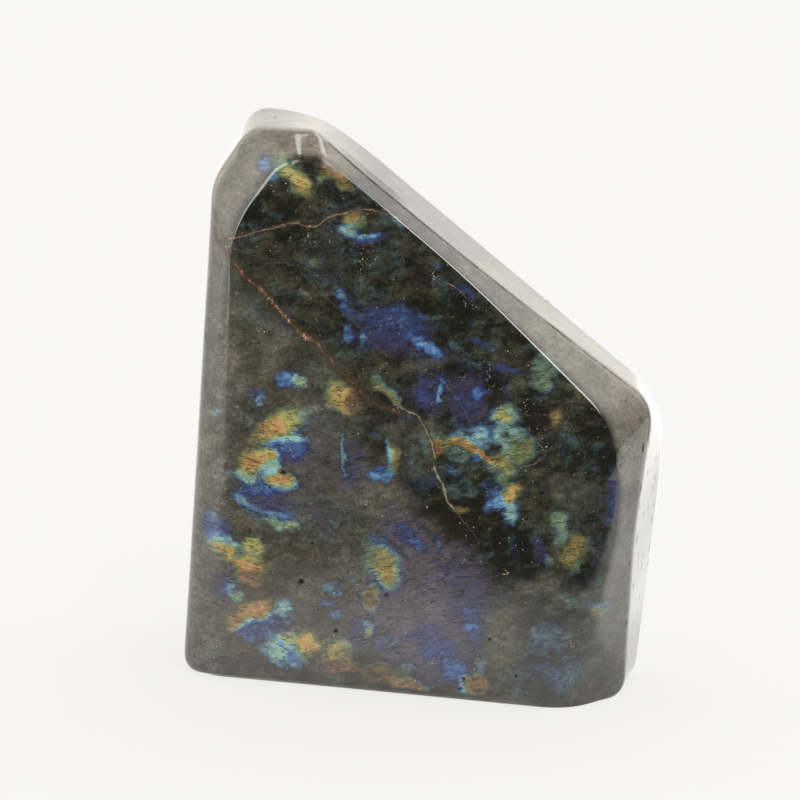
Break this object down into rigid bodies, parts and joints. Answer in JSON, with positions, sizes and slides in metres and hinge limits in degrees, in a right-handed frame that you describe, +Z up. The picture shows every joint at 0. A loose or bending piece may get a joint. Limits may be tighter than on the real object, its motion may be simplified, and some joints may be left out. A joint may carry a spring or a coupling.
{
  "type": "polished labradorite freeform",
  "caption": "Upright polished slab of labradorite with a flat front and back, ground bevels, a long sloping top and a flat cut foot.",
  "frame": {"origin": "on the foot's level, at the middle of the stone's box seen from above", "axes": "+Z up, +X towards the low shoulder at the right of the front face, -Y out of the broad polished face"},
  "size_m": [0.1023, 0.0399, 0.1242],
  "materials": {
    "labradorite": "polished dark feldspar with blue, gold and green schiller"
  },
  "bodies": {
    "root": {"labradorite_stone": "labradorite"}
  },
  "joints": []
}
